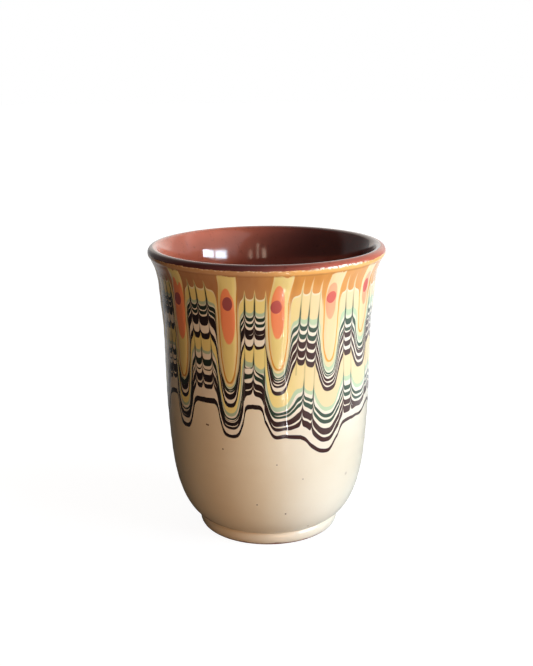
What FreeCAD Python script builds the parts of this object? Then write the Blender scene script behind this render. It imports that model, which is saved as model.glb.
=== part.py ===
"""A handleless ceramic tumbler, thrown on a wheel as one piece of clay.

A small turned foot carries a rounded belly, a nearly straight wall and a flared, rounded lip.
Millimetres, +Z up, with the origin at the middle of the surface that the tumbler stands on.
"""
import FreeCAD, Part
import math
import os

from FreeCAD import Vector

# Whole tumbler
height = 100.0             # table to the top of the lip
wall = 3.4                 # clay thickness of the belly and the wall
floor_thickness = 5.2      # table to the middle of the inside floor

# Foot, turned on the wheel
foot_base_radius = 22.7    # outer edge of the ring that stands on the table
foot_radius = 24.3         # widest part of the rounded foot band
foot_bulge_height = 2.9    # table to that widest part
groove_radius = 23.8       # root of the groove above the foot
foot_height = 4.4          # table to the groove
foot_ring_width = 4.7      # width of the ring that stands on the table
foot_recess = 1.2          # depth of the hollow turned out under the foot
foot_recess_slope = 1.5    # how far the side of that hollow leans inwards

# Belly, where the clay turns from the foot into the wall, seen from outside
belly_radius = 33.55
belly_height = 27.0
belly_lean = 6.3           # degrees that the surface leans out there
belly_fullness = 19.0      # a larger value fills the belly out further down
shoulder_lean = 48.0       # degrees that the surface leans out at the groove
shoulder_fullness = 1.4

# Neck, where the wall starts to flare
neck_radius = 35.67
neck_drop = 24.0           # measured down from the top of the lip
neck_lean = 6.5            # degrees that the surface leans out there
wall_straightness = 20.8   # how far the belly's lean holds up the wall
neck_turn = 5.4            # how far below the neck the flare begins
neck_hold = 11.2           # how far above the neck its lean still holds

# Lip
lip_radius = 40.2          # widest part of the lip, outside
lip_thickness = 3.8        # the lip is rounded to half this thickness
lip_lean = 35.0            # degrees that the flare leans out where it meets the lip
lip_hold = 6.6             # how far below the lip that lean still holds

# Inside floor
floor_level_reach = 19.0   # how far from the middle the floor stays level
inside_belly_fullness = 21.5


def at(radius, level):
    """A point of the section, which lies in the XZ plane."""
    return Vector(radius, 0, level)


def leaning(degrees, length):
    """A step of this length up a surface that leans outwards from the vertical."""
    angle = math.radians(degrees)
    return at(length * math.sin(angle), length * math.cos(angle))


def line(start, end):
    return Part.LineSegment(start, end).toShape()


def arc(start, middle, end):
    return Part.Arc(start, middle, end).toShape()


def sweep(start, first_step, last_step, end):
    """A smooth curve that leaves along its first step and arrives along its last step."""
    bezier = Part.BezierCurve()
    bezier.setPoles([start, start + first_step, end - last_step, end])
    return bezier.toShape()


def lip_point(degrees):
    """A point of the lip's rounding, by its angle above level, seen from the lip's middle."""
    rounding = lip_thickness / 2
    angle = math.radians(degrees)
    middle = at(lip_radius - rounding, height - rounding)
    return middle + at(rounding * math.cos(angle), rounding * math.sin(angle))


def belly_point(inset):
    return at(belly_radius - inset, belly_height)


def neck_point(inset):
    return at(neck_radius - inset, height - neck_drop)


def wall_sweep(inset):
    """The wall from the belly up to the neck, moved inwards by the inset."""
    below_neck = leaning(neck_lean, neck_turn)
    above_belly = leaning(belly_lean, wall_straightness)
    return sweep(belly_point(inset), above_belly, below_neck, neck_point(inset))


def flare_sweep(inset, lip_end):
    """The flare from the neck up to one end of the lip's rounding."""
    above_neck = leaning(neck_lean, neck_hold)
    below_lip = leaning(lip_lean, lip_hold)
    return sweep(neck_point(inset), above_neck, below_lip, lip_end)


def underside_edges():
    """From the middle of the recess out to the ring that stands on the table."""
    ring_inner = at(foot_base_radius - foot_ring_width, 0)
    recess_edge = ring_inner + at(-foot_recess_slope, foot_recess)
    return [
        line(at(0, foot_recess), recess_edge),
        line(recess_edge, ring_inner),
        line(ring_inner, at(foot_base_radius, 0)),
    ]


def outside_edges():
    """The rounded foot band, the groove over it, then belly, wall and flare."""
    groove = at(groove_radius, foot_height)
    bulge = at(foot_radius, foot_bulge_height)
    above_groove = leaning(shoulder_lean, shoulder_fullness)
    below_belly = leaning(belly_lean, belly_fullness)
    return [
        arc(at(foot_base_radius, 0), bulge, groove),
        sweep(groove, above_groove, below_belly, belly_point(0)),
        wall_sweep(0),
        flare_sweep(0, lip_point(-lip_lean)),
    ]


def inside_edges():
    """The inner wall follows the outside and turns into the floor in one sweep."""
    floor_middle = at(0, floor_thickness)
    below_belly = leaning(belly_lean, inside_belly_fullness)
    return [
        flare_sweep(wall, lip_point(180 - lip_lean)),
        wall_sweep(wall),
        sweep(floor_middle, at(floor_level_reach, 0), below_belly, belly_point(wall)),
    ]


def tumbler():
    """The closed section, turned once about the tumbler's axis."""
    lip = arc(lip_point(-lip_lean), lip_point(90), lip_point(180 - lip_lean))
    axis = line(at(0, floor_thickness), at(0, foot_recess))
    edges = underside_edges() + outside_edges() + [lip] + inside_edges() + [axis]
    section = Part.Wire(edges)
    return Part.Face(section).revolve(Vector(0, 0, 0), Vector(0, 0, 1), 360)


os.makedirs("parts", exist_ok=True)
shape = tumbler()
if not shape.isValid() or len(shape.Solids) != 1:
    raise RuntimeError("the tumbler is not one valid solid")
shape = shape.Solids[0]
shape.exportStep("parts/tumbler.step")
print("tumbler: clay volume %.1f cm3" % (shape.Volume / 1000))
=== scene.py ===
# %% [markdown]
# A slipware tumbler, thrown on the wheel in one piece of red clay. The potter dips the outside in
# cream slip, lets coloured slips run down from the lip in drips, combs them while they are wet,
# and fires the whole under a clear glaze. The lesson builds it the same way round: first the
# studio, then the clay form, then the runs and lines of slip, and last the glaze on top.

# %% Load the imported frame
import math

import bpy
import numpy as np
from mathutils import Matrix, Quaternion, Vector


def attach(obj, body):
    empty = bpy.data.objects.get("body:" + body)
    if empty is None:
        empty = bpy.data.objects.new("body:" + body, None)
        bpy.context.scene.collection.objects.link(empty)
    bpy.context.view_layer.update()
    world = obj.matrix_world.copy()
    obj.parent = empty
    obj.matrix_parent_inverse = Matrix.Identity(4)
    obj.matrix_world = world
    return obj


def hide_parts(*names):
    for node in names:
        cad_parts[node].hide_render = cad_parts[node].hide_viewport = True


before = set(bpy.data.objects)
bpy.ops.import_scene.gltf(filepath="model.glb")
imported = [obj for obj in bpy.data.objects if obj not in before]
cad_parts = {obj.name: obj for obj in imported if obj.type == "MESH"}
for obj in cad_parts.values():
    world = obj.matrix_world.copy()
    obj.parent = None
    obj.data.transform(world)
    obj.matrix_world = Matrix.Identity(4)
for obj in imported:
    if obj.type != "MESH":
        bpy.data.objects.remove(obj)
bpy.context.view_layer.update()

MM = 0.001

# %% [markdown]
# The camera comes first, because every later choice is judged through it. It stands a little
# above the lip, near enough for the mouth to open into an ellipse and for the foot to curve more
# than the lip. Its place was found by matching the outline, the mouth and the foot.

# %% Camera
camera_place = Vector((0.0, -368.7, 164.5)) * MM
camera_target = Vector((-0.24, 0.0, 68.67)) * MM
camera_lens = 59.57            # for a sensor 36 mm long
camera_roll = math.radians(-0.47)

scene = bpy.context.scene
scene.view_settings.view_transform = "Standard"
bpy.ops.object.select_all(action="DESELECT")
bpy.ops.object.camera_add(location=camera_place)
camera = bpy.context.object
camera.name = "studio_camera"
camera.data.sensor_width = 36.0
camera.data.lens = camera_lens
looking = (camera_target - camera_place).to_track_quat("-Z", "Y")
camera.rotation_mode = "QUATERNION"
camera.rotation_quaternion = looking @ Quaternion((0, 0, 1), camera_roll)
camera.data.clip_start = 10 * MM
scene.camera = camera
print("camera height in mm:", round(camera.location.z / MM, 1))

# %% [markdown]
# A node material is a tree of small steps. These helpers add one step at a time and join it to
# the ones before, so that each finish below reads as a recipe instead of a page of plumbing.


# %% Helpers for node trees
def node(tree, kind, **settings):
    made = tree.nodes.new(kind)
    for name, value in settings.items():
        setattr(made, name, value)
    return made


def feed(tree, value, socket):
    """Joins a step's output to a socket, or writes a plain value into it."""
    if isinstance(value, bpy.types.NodeSocket):
        tree.links.new(value, socket)
    else:
        socket.default_value = value


def calc(tree, operation, *values, clamp=False):
    made = node(tree, "ShaderNodeMath", operation=operation, use_clamp=clamp)
    for value, socket in zip(values, made.inputs):
        feed(tree, value, socket)
    return made.outputs[0]


def times(tree, first, second):
    return calc(tree, "MULTIPLY", first, second)


def minus(tree, first, second):
    return calc(tree, "SUBTRACT", first, second)


def divided(tree, first, second):
    return calc(tree, "DIVIDE", first, second)


def blend(tree, factor, under, over, kind="MIX"):
    """Lays one colour over another."""
    made = node(tree, "ShaderNodeMix", data_type="RGBA", blend_type=kind)
    feed(tree, factor, made.inputs[0])
    feed(tree, under, made.inputs[6])
    feed(tree, over, made.inputs[7])
    return made.outputs[2]


def ramp(tree, value, start, end, low=0.0, high=1.0):
    """A smooth step from low to high while the value goes from start to end."""
    made = node(tree, "ShaderNodeMapRange", interpolation_type="SMOOTHSTEP")
    for number, item in enumerate((value, start, end, low, high)):
        feed(tree, item, made.inputs[number])
    return made.outputs[0]


def noise(tree, place, scale, detail=2.0, roughness=0.5):
    made = node(tree, "ShaderNodeTexNoise")
    feed(tree, place, made.inputs["Vector"])
    made.inputs["Scale"].default_value = scale
    made.inputs["Detail"].default_value = detail
    made.inputs["Roughness"].default_value = roughness
    return made.outputs["Fac"]


def rgb(red, green, blue):
    """A colour in linear light."""
    return (red, green, blue, 1.0)


# %% [markdown]
# The tumbler stands on plain white paper in front of a white backdrop. A white surface only looks
# pure white in a picture if it is lit very strongly, which would wash the pottery out. So the
# paper and the world shine white to the camera and to mirrors alone, through the Light Path node,
# and the light that falls on the tumbler stays soft. The glaze mirrors this white mostly from the
# back, and less of it on the left, so that the sheen on the edges lies near where the photo has
# it. That suits the one view of the photo. The paper takes real light too, so it keeps a shadow.


# %% White surroundings
def mirrored_rays(tree):
    """One for rays in reflections and glass, zero for the rest."""
    path = node(tree, "ShaderNodeLightPath")
    return calc(tree, "MAXIMUM", path.outputs["Is Glossy Ray"], path.outputs["Is Transmission Ray"])


def camera_rays(tree):
    return node(tree, "ShaderNodeLightPath").outputs["Is Camera Ray"]


def direction(tree, socket):
    """Which way a place or a ray lies: x to the right, y towards the backdrop."""
    straight_out = node(tree, "ShaderNodeVectorMath", operation="NORMALIZE")
    feed(tree, node(tree, "ShaderNodeTexCoord").outputs[socket], straight_out.inputs[0])
    parts = node(tree, "ShaderNodeSeparateXYZ")
    feed(tree, straight_out.outputs[0], parts.inputs[0])
    return parts.outputs


world = bpy.data.worlds.new("white_room")
world.use_nodes = True
scene.world = world
tree = world.node_tree
tree.nodes.clear()
room_light = node(tree, "ShaderNodeBackground")
room_light.inputs["Color"].default_value = rgb(1.0, 0.84, 0.66)
room_light.inputs["Strength"].default_value = 0.05
white = node(tree, "ShaderNodeBackground")
white.inputs["Color"].default_value = rgb(1, 1, 1)
white.inputs["Strength"].default_value = 1.0
choice = node(tree, "ShaderNodeMixShader")
towards = direction(tree, "Generated")
edge_white = ramp(tree, towards["Y"], 0.10, 0.30, 0.05, 0.55)
middle_white = ramp(tree, towards["Y"], 0.6, 0.95, 0.0, 0.45)
left_share = ramp(tree, towards["X"], -0.7, 0.0, 0.35, 1.0)
backdrop = times(tree, calc(tree, "ADD", edge_white, middle_white), left_share)
seen_white = times(tree, mirrored_rays(tree), backdrop)
feed(tree, calc(tree, "MAXIMUM", camera_rays(tree), seen_white), choice.inputs[0])
feed(tree, room_light.outputs[0], choice.inputs[1])
feed(tree, white.outputs[0], choice.inputs[2])
world_out = node(tree, "ShaderNodeOutputWorld")
feed(tree, choice.outputs[0], world_out.inputs["Surface"])

# %% Paper under the tumbler
floor_size = 6.0
bpy.ops.object.select_all(action="DESELECT")
bpy.ops.mesh.primitive_plane_add(size=floor_size, location=(0, 0, 0))
floor = bpy.context.object
floor.name = "paper_floor"
paper = bpy.data.materials.new("white_paper")
paper.use_nodes = True
tree = paper.node_tree
tree.nodes.clear()
surface = node(tree, "ShaderNodeBsdfDiffuse")
surface.inputs["Color"].default_value = rgb(0.25, 0.25, 0.25)
glow = node(tree, "ShaderNodeEmission")
place = node(tree, "ShaderNodeTexCoord").outputs["Object"]
distance = node(tree, "ShaderNodeVectorMath", operation="LENGTH")
feed(tree, place, distance.inputs[0])
camera_glow = ramp(tree, distance.outputs["Value"], 0.03, 0.25, 0.935, 1.0)
way = direction(tree, "Object")
far_paper = ramp(tree, distance.outputs["Value"], 0.12, 0.19)
behind = times(tree, far_paper, ramp(tree, way["Y"], 0.58, 0.82))
behind = calc(tree, "MAXIMUM", behind, ramp(tree, way["Y"], 0.86, 0.98))
behind = times(tree, behind, ramp(tree, way["X"], -0.4, 0.0, 0.5, 1.0))
right_glow = ramp(tree, way["X"], 0.3, 0.8, 0.0, 0.3)
mirror_glow = calc(tree, "MAXIMUM", behind, right_glow)
camera_glow = times(tree, camera_glow, camera_rays(tree))
glow_strength = calc(tree, "MULTIPLY_ADD", mirror_glow, mirrored_rays(tree), camera_glow)
feed(tree, glow_strength, glow.inputs["Strength"])
both = node(tree, "ShaderNodeAddShader")
feed(tree, surface.outputs[0], both.inputs[0])
feed(tree, glow.outputs[0], both.inputs[1])
feed(tree, both.outputs[0], node(tree, "ShaderNodeOutputMaterial").inputs["Surface"])
floor.data.materials.append(paper)

# %% [markdown]
# The light is that of a room with a window on the right. Its two cool panes give the main light
# and show as the bright pair inside the mouth. A wide lamp above them softens the shade, a low
# warm screen brightens the front, three dim, narrow panes stand for windows further off, and a
# warm lamp behind keeps the back readable when the tumbler is turned. A lamp's brightness is what
# a white card would show that faces it, so 1 means that a colour comes out as it is written. Two
# patches on the paper throw light up as well, and the glaze mirrors them: a large one on the
# right and a narrow strip in front. Their brightness is that of the patch itself.


# %% Lamps
lamp_target = 55.0             # mm above the table, the middle of what the lamps light


def lamp(name, azimuth, elevation, distance, width, height, brightness, colour=(1, 1, 1)):
    """A soft lamp that faces the tumbler. Azimuth 0 is the camera's side and 90 the right."""
    turn, rise = math.radians(azimuth), math.radians(elevation)
    away = Vector((math.sin(turn) * math.cos(rise), -math.cos(turn) * math.cos(rise), math.sin(rise)))
    middle = Vector((0, 0, lamp_target * MM))
    bpy.ops.object.select_all(action="DESELECT")
    bpy.ops.object.light_add(type="AREA", location=middle + away * distance)
    made = bpy.context.object
    made.name = name
    made.rotation_mode = "QUATERNION"
    made.rotation_quaternion = (-away).to_track_quat("-Z", "Y")
    made.data.shape = "RECTANGLE"
    made.data.size, made.data.size_y = width, height
    made.data.energy = brightness * (math.pi * distance) ** 2
    made.data.color = colour
    made.visible_camera = False
    return made


window_blue = (0.68, 0.87, 1.02)
far_warm = (1.0, 0.74, 0.56)
lamp("window_left_pane", 58.5, 9, 0.8, 0.20, 0.25, 0.46, window_blue)
lamp("window_right_pane", 76, 9, 0.8, 0.22, 0.25, 0.46, window_blue)
lamp("room_wall", 72, 38, 1.2, 1.7, 1.0, 0.20, (0.85, 0.92, 1.0))
lamp("front_screen", 18, 3, 0.9, 0.7, 0.09, 0.345, (1.0, 0.55, 0.28))
lamp("far_pane_left", 3, 14, 0.8, 0.06, 0.22, 0.018, far_warm)
lamp("far_pane_middle", 10.5, 17, 0.8, 0.03, 0.30, 0.012, far_warm)
lamp("far_pane_right", 20, 13, 0.8, 0.05, 0.20, 0.014, far_warm)
lamp("back_lamp", 172, 35, 1.0, 1.4, 1.0, 0.24, (1.0, 0.85, 0.70))


def gleam(name, azimuth, distance, across, along, brightness):
    """A patch of light that lies on the paper and shines up."""
    turn = math.radians(azimuth)
    bpy.ops.object.select_all(action="DESELECT")
    place = Vector((math.sin(turn) * distance, -math.cos(turn) * distance, 0.5 * MM))
    bpy.ops.object.light_add(type="AREA", location=place, rotation=(math.pi, 0, turn))
    made = bpy.context.object
    made.name = name
    made.data.shape = "RECTANGLE"
    made.data.size, made.data.size_y = across, along
    made.data.energy = brightness * math.pi * across * along
    made.visible_camera = False
    return made


gleam("gleam_right", 80, 0.28, 0.34, 0.34, 1.0)
gleam("gleam_streak", 17, 0.20, 0.005, 0.15, 45.0)

# %% [markdown]
# The clay form is a turned one, so half of its outline is enough. It could be built up from a
# cylinder, but a Bezier outline keeps the few points a thrower thinks in: the foot,
# the belly, the neck and the lip, with handles for how far each curve holds its direction. The
# outline is drawn span by span, turned into a chain of edges, and turned once round the axis. A
# lean is an angle from the upright, and a hold, fullness or turn is the length of a handle.

# %% Sizes of the clay form, in millimetres
height = 100.0
wall = 3.4
floor_thickness = 5.2
foot_base_radius = 22.7
foot_radius = 24.3
foot_bulge_height = 2.9
groove_radius = 23.8
foot_height = 4.4
foot_ring_width = 4.7
foot_recess = 1.2
foot_recess_slope = 1.5
belly_radius = 33.55
belly_height = 27.0
belly_lean = 6.3
belly_fullness = 19.0
shoulder_lean = 48.0
shoulder_fullness = 1.4
neck_radius = 35.67
neck_drop = 24.0
neck_lean = 6.5
wall_straightness = 20.8
neck_turn = 5.4
neck_hold = 11.2
lip_radius = 40.2
lip_thickness = 3.8
lip_lean = 35.0
lip_hold = 6.6
floor_level_reach = 19.0
inside_belly_fullness = 21.5


# %% Spans of the outline
def at(radius, level):
    return np.array((radius, level), float)


def leaning(degrees, length):
    """A step of this length up a surface that leans outwards from the vertical."""
    angle = math.radians(degrees)
    return at(length * math.sin(angle), length * math.cos(angle))


def sweep(start, first_step, last_step, end, steps):
    """The four poles of a smooth span, and the number of edges it is cut into."""
    return start, start + first_step, end - last_step, end, steps


def straight(start, end, steps):
    third = (end - start) / 3
    return sweep(start, third, third, end, steps)


def arc(middle, radius, from_degrees, to_degrees, steps):
    """Part of a circle, with handles of the length that keeps a Bezier span round."""
    first, last = math.radians(from_degrees), math.radians(to_degrees)
    hold = 4 / 3 * math.tan((last - first) / 4) * radius
    ends = [middle + radius * at(math.cos(t), math.sin(t)) for t in (first, last)]
    along = [hold * at(-math.sin(t), math.cos(t)) for t in (first, last)]
    return sweep(ends[0], along[0], along[1], ends[1], steps)


def arc_through(start, middle, end, steps):
    """The circle arc that passes through three points."""
    sides = 2 * np.array([middle - start, end - start])
    squares = np.array([middle @ middle - start @ start, end @ end - start @ start])
    centre = np.linalg.solve(sides, squares)
    turns = [math.degrees(math.atan2(p[1] - centre[1], p[0] - centre[0])) for p in (start, end)]
    return arc(centre, float(np.linalg.norm(start - centre)), turns[0], turns[1], steps)


lip_rounding = lip_thickness / 2
lip_middle = at(lip_radius - lip_rounding, height - lip_rounding)
groove = at(groove_radius, foot_height)
ring_inner = at(foot_base_radius - foot_ring_width, 0)
recess_edge = ring_inner + at(-foot_recess_slope, foot_recess)
belly = at(belly_radius, belly_height)
neck = at(neck_radius, height - neck_drop)
inset = at(wall, 0)


def lip_point(degrees):
    angle = math.radians(degrees)
    return lip_middle + lip_rounding * at(math.cos(angle), math.sin(angle))


above_groove = leaning(shoulder_lean, shoulder_fullness)
below_belly = leaning(belly_lean, belly_fullness)
above_belly = leaning(belly_lean, wall_straightness)
below_neck = leaning(neck_lean, neck_turn)
above_neck = leaning(neck_lean, neck_hold)
below_lip = leaning(lip_lean, lip_hold)
inside_below_belly = leaning(belly_lean, inside_belly_fullness)
floor_reach = at(floor_level_reach, 0)
lip_inside = lip_point(180 - lip_lean)

outer_spans = [
    arc_through(at(foot_base_radius, 0), at(foot_radius, foot_bulge_height), groove, 8),
    sweep(groove, above_groove, below_belly, belly, 22),
    sweep(belly, above_belly, below_neck, neck, 40),
    sweep(neck, above_neck, below_lip, lip_point(-lip_lean), 32),
]
lip_spans = [
    arc(lip_middle, lip_rounding, -lip_lean, 90 - lip_lean, 6),
    arc(lip_middle, lip_rounding, 90 - lip_lean, 180 - lip_lean, 6),
]
inner_spans = [
    sweep(lip_inside, -below_lip, -above_neck, neck - inset, 9),
    sweep(neck - inset, -below_neck, -above_belly, belly - inset, 9),
    sweep(belly - inset, -inside_below_belly, -floor_reach, at(0, floor_thickness), 16),
]
under_spans = [
    straight(at(0, foot_recess), recess_edge, 3),
    straight(recess_edge, ring_inner, 1),
    straight(ring_inner, at(foot_base_radius, 0), 2),
]
spans = under_spans + outer_spans + lip_spans + inner_spans
print("edges in the outline:", sum(span[4] for span in spans))

# %% Draw the outline and turn it
columns = 640                  # steps round the tumbler
merge_reach = 1e-6             # metres
sharpest_smooth_edge = 35      # degrees, so that only the corners of the foot ring stay sharp

bpy.ops.object.select_all(action="DESELECT")
bpy.ops.curve.primitive_bezier_curve_add(location=(0, 0, 0))
tumbler = bpy.context.object
tumbler.name = "tumbler_body"
tumbler.data.name = "tumbler_body"
tumbler.data.splines.clear()
for start, leaving, arriving, end, steps in spans:
    span = tumbler.data.splines.new("BEZIER")
    span.bezier_points.add(1)
    span.resolution_u = steps
    first, last = span.bezier_points
    for point in (first, last):
        point.handle_left_type = point.handle_right_type = "FREE"
    for point, before, here, after in ((first, start, start, leaving), (last, arriving, end, end)):
        point.handle_left = Vector((before[0], 0, before[1])) * MM
        point.co = Vector((here[0], 0, here[1])) * MM
        point.handle_right = Vector((after[0], 0, after[1])) * MM
bpy.ops.object.convert(target="MESH")
tumbler = bpy.context.object
bpy.ops.object.mode_set(mode="EDIT")
bpy.ops.mesh.select_all(action="SELECT")
bpy.ops.mesh.remove_doubles(threshold=merge_reach)
bpy.ops.object.mode_set(mode="OBJECT")
turning = tumbler.modifiers.new("turning", "SCREW")
turning.axis = "Z"
turning.angle = math.tau
turning.steps = turning.render_steps = columns
turning.use_merge_vertices = True
turning.merge_threshold = merge_reach
bpy.ops.object.modifier_apply(modifier=turning.name)
bpy.ops.object.mode_set(mode="EDIT")
bpy.ops.mesh.select_all(action="SELECT")
bpy.ops.mesh.remove_doubles(threshold=merge_reach)
bpy.ops.mesh.normals_make_consistent(inside=False)
bpy.ops.object.mode_set(mode="OBJECT")
bpy.ops.object.shade_smooth_by_angle(angle=math.radians(sharpest_smooth_edge))
mesh = tumbler.data
print("tumbler:", len(mesh.vertices), "points,", len(mesh.polygons), "faces")

# %% [markdown]
# A thrown wall is never as even as a drawn one. The potter's fingers leave a slow spiral, the
# rim wanders a little, and every drip of slip stands a hair proud of the clay. Such relief could
# be left to a bump texture, but where light grazes the wall only a moved surface looks right, so
# the mesh points themselves are moved by tenths of a millimetre.

# %% Read the points of the form
places = np.empty(len(mesh.vertices) * 3)
mesh.vertices.foreach_get("co", places)
points = places.reshape(-1, 3) / MM
level = points[:, 2]
radius = np.hypot(points[:, 0], points[:, 1])
around = np.degrees(np.arctan2(points[:, 0], -points[:, 1]))   # 0 faces the camera, 90 is right


def along_span(span, count=60):
    """Points of a Bezier span, for measuring."""
    a, b, c, d, _ = span
    t = np.linspace(0, 1, count)[:, None]
    return a * (1 - t) ** 3 + 3 * b * t * (1 - t) ** 2 + 3 * c * t ** 2 * (1 - t) + d * t ** 3


outer_line = np.vstack([along_span(span) for span in outer_spans + lip_spans[:1]])
outer_line = outer_line[np.argsort(outer_line[:, 1], kind="stable")]


def outer_radius(z):
    return np.interp(z, outer_line[:, 1], outer_line[:, 0])


is_outside = (np.abs(radius - outer_radius(level)) < 0.05) & (level > 0.01)
print("points outside:", int(is_outside.sum()))

# %% [markdown]
# Thirteen drips of slip run down from the lip. Between two drips the lines of slip rise to a
# plateau, and at a drip they hang down round it like a swag. So each line is one height for
# every direction round the tumbler: the height of its plateau, less the depth of each drip. The
# heights are kept on the mesh as attributes, because they belong to the surface, and the
# material compares them with the height of the spot that it colours.

# %% Bands of slip on the plateaus and in the drips
# Each row has a direction in degrees, the height of the top band, and then the widths of the bands
# below it, in millimetres: yellow, pale green, five dark lines with cream between, yellow, pale
# green, cream, four dark lines with cream between, cream, and the last dark line. The sizes were
# read off the front of the tumbler and adjusted.
plateaus = {
    "far_left": (-63, [
        91.2, 4.4, 1.3, 1.1, .4, 1.2, .5, 1.4, .1, 1.1, 3.0, 1.9,
        4.6, .9, 1.4, 1.8, 1.5, .3, 1.5, 2.6, .6, 1.3, 3.8, 1.5,
    ]),
    "left": (-35, [
        91.3, 4.3, 1.5, 1.2, .5, 1.1, .7, 1.4, 0, 1.5, 2.7, 1.9,
        3.9, 1.0, 1.9, 2.1, 1.2, .3, 1.5, 2.4, .8, 1.4, 3.1, 1.7,
    ]),
    "middle_left": (-9, [
        88.9, 4.5, 1.7, 1.0, .9, 1.0, 1.0, 1.6, .3, 1.3, 2.3, 1.3,
        3.7, 1.6, .4, 0, 2.0, 1.4, 1.6, 1.9, .6, 1.5, 3.3, 1.4,
    ]),
    "middle_right": (-3.5, [
        88.8, 4.5, 1.7, 1.0, .9, 1.0, 1.0, 1.4, .3, 1.4, 2.2, .8,
        6.8, 1.2, .2, .8, .6, 1.2, 1.0, 1.9, .5, 1.6, 2.7, 1.3,
    ]),
    "right_near": (16, [
        89.9, 8.1, 2.1, 1.4, 1.3, 1.5, 1.0, 2.1, .8, 2.1, .8, 1.7,
        7.7, 1.3, 1.3, 1.3, .8, 1.2, 1.9, 2.5, .9, 1.7, 3.0, 1.35,
    ]),
    "right_far": (24, [
        90.0, 8.5, 2.8, 1.4, 1.3, 1.5, 1.0, 1.9, 1.1, 2.2, .9, 1.7,
        8.0, 1.2, 1.1, .7, .7, 1.4, 1.0, 1.9, .5, 2.5, 3.9, 1.5,
    ]),
    "lit": (47, [
        89.3, 6.5, 3.1, 1.8, 1.2, 1.1, .5, 1.6, 1.3, 1.6, 1.3, 1.7,
        7.2, 1.6, 1.8, 1.4, .9, 1.2, 1.3, 1.6, .6, 2.3, 2.1, 1.2,
    ]),
    "far_right": (71, [
        88.5, 4.5, 4.0, 1.2, .9, .9, .5, 1.6, .8, 1.5, 1.0, 1.6,
        9.0, 1.5, 1.5, 1.0, 1.0, 1.0, 1.0, 1.5, .2, .8, 3.0, 1.1,
    ]),
}
drips = {
    "far_left": (-50.7, [
        60.3, .9, .5, .8, .1, .9, .2, .8, 0, .6, 1.3, 1.1,
        2.1, .9, 1.0, .4, .6, 0, .3, 1.1, .3, .6, 1.9, 1.3,
    ]),
    "left": (-20, [
        60.8, 1.2, .8, .35, .3, .35, .7, .8, .1, .8, 1.5, 1.2,
        2.0, 1.1, .7, .4, .5, 0, .5, 1.1, .45, .7, 1.9, 1.1,
    ]),
    "middle": (5.5, [
        65.3, .8, 1.5, .3, .4, .35, .5, .5, .5, .65, 1.4, 1.15,
        4.0, 1.5, .45, .8, .4, .7, 1.1, 1.6, .6, 1.0, 1.5, 1.15,
    ]),
    "right": (34, [
        66.9, 1.9, 2.1, .4, .4, .3, .8, .8, .6, .8, .6, 1.3,
        5.4, 1.3, 1.2, 1.1, .9, 1.2, 1.7, 2.1, 1.0, 1.5, 2.6, 1.3,
    ]),
    "far_right": (59.5, [
        73.6, 1.6, 2.3, 1.0, .7, .3, .3, 1.1, 1.0, 1.2, 1.0, 1.3,
        6.0, 1.3, 1.2, .9, .9, .8, .9, 1.5, .1, .1, 2.5, .95,
    ]),
}


def band_edges(widths):
    return widths[0] - np.concatenate(([0], np.cumsum(widths[1:])))


print("lowest line on the left plateau:", round(band_edges(plateaus["left"][1])[-1], 1))

# The side of a drip, for these of its lines: how far out it has risen halfway, in degrees, how
# full it is below that point, and how square its shoulder is above.
width_lines = [0, 2, 11, 14, 22]
drip_shapes = {                # left side, right side
    "far_left": (
        ([4.6, 5.0, 5.3, 6.1, 6.0], [7.0, 7.5, 5.5, 7.0, 5.0], [16, 17, 14, 14, 12]),
        ([4.4, 4.7, 5.7, 6.2, 6.5], [6.0, 6.5, 6.0, 6.0, 4.2], [8.5, 8.5, 10, 9, 7]),
    ),
    "left": (
        ([4.6, 4.95, 5.75, 6.05, 6.15], [4.8, 5.7, 4.4, 4.4, 5.0], [10, 11.5, 7.7, 8.6, 9.5]),
        ([4.75, 5.3, 5.75, 6.8, 7.2], [4.3, 6.5, 4.5, 5.0, 5.0], [8, 11, 14, 12, 14]),
    ),
    "middle": (
        ([4.8, 4.6, 5.35, 6.7, 7.0], [5.5, 4.8, 5.3, 3.0, 2.2], [15, 9, 14, 14, 10]),
        ([5.25, 5.55, 6.0, 8.3, 9.3], [6.5, 6.0, 4.5, 4.2, 2.6], [10, 8.7, 6, 7.5, 5]),
    ),
    "right": (
        ([4.65, 5.4, 6.2, 8.5, 10.8], [5.5, 4.0, 4.0, 2.8, 2.9], [7.5, 7, 7, 9, 6]),
        ([4.6, 5.45, 6.35, 7.2, 7.4], [7.5, 5.5, 5.0, 2.2, 1.4], [12, 6.3, 5, 6.5, 5.6]),
    ),
    "far_right": (
        ([4.3, 5.3, 6.4, 7.0, 7.0], [3.6, 3.8, 4.0, 4.0, 3.0], [6.8, 5.8, 6, 7, 4]),
        ([5.0, 5.8, 7.8, 8.5, 9.0], [5.0, 5.0, 5.0, 4.0, 3.0], [8, 7, 8, 7, 6]),
    ),
}

# %% Carry the drips on round the back
rng = np.random.default_rng(11)
stations = []                  # middle, edges, left side, right side
for name, (middle, widths) in drips.items():
    stations.append((middle, band_edges(widths)) + drip_shapes[name])
right_of_drip = (
    ("left",), ("middle_left", "middle_right"), ("right_near", "right_far"), ("lit",), ("far_right",),
)
levels = []                    # the plateau to the right of each drip: angles and edges
for names in right_of_drip:
    levels.append([(plateaus[n][0], band_edges(plateaus[n][1])) for n in names])

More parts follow.
